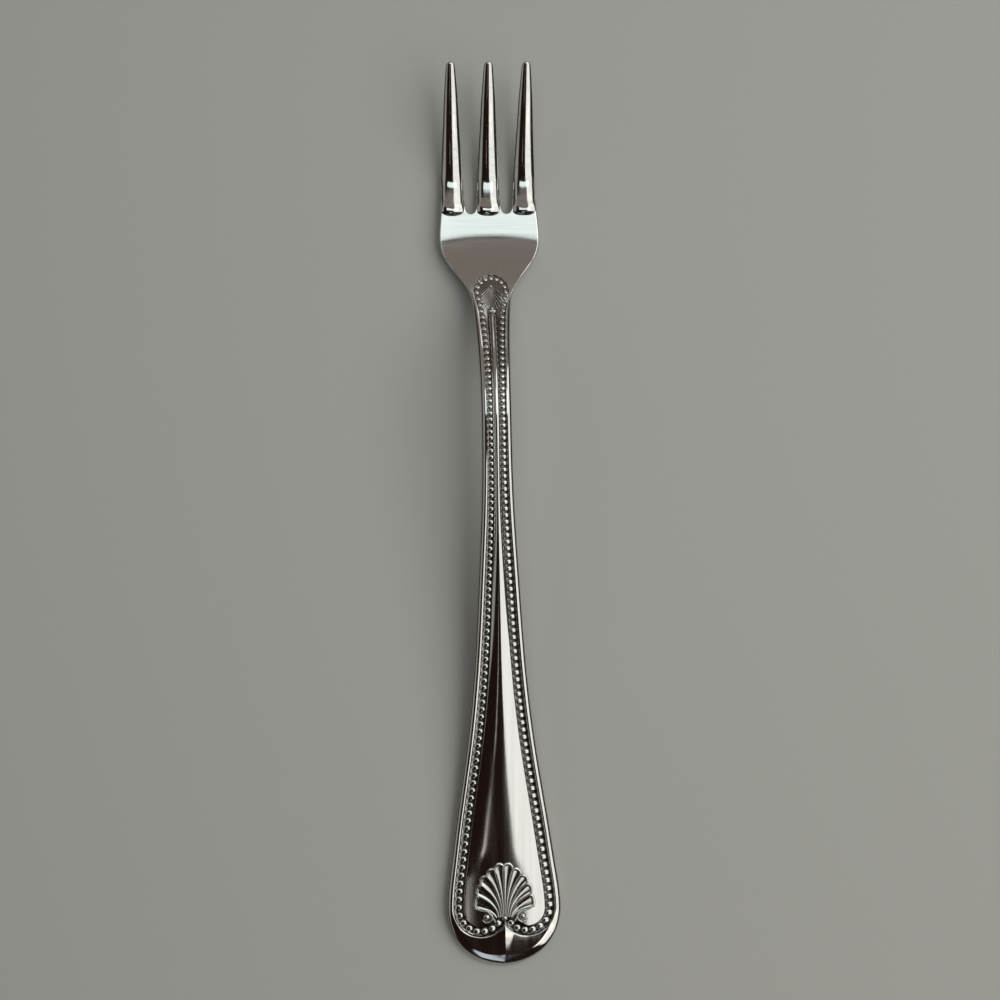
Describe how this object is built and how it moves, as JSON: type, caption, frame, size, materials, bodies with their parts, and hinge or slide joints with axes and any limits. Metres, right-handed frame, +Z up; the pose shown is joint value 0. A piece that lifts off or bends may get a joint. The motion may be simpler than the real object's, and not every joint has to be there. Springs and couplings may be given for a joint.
{
  "type": "oyster fork",
  "caption": "Small three-tined seafood fork with a slim arched stem, beaded border and a fluted shell on the spatulate handle end.",
  "frame": {"origin": "on the table plane, under the middle of the fork's length and width", "axes": "+Y from the handle's end towards the tine tips, +X to the right seen from above, +Z up from the table"},
  "size_m": [0.0184, 0.145, 0.0103],
  "materials": {
    "polished_steel": "polished stainless steel with fine use scratches",
    "coined_steel": "coined relief in the same steel, darker in its hollows"
  },
  "bodies": {
    "root": {"handle": "polished_steel", "palm": "polished_steel", "tine_left": "polished_steel", "tine_middle": "polished_steel", "tine_right": "polished_steel", "bead_row_left": "coined_steel", "bead_row_right": "coined_steel", "neck_beads": "coined_steel", "neck_shell": "coined_steel", "tip_shell": "coined_steel"}
  },
  "joints": []
}
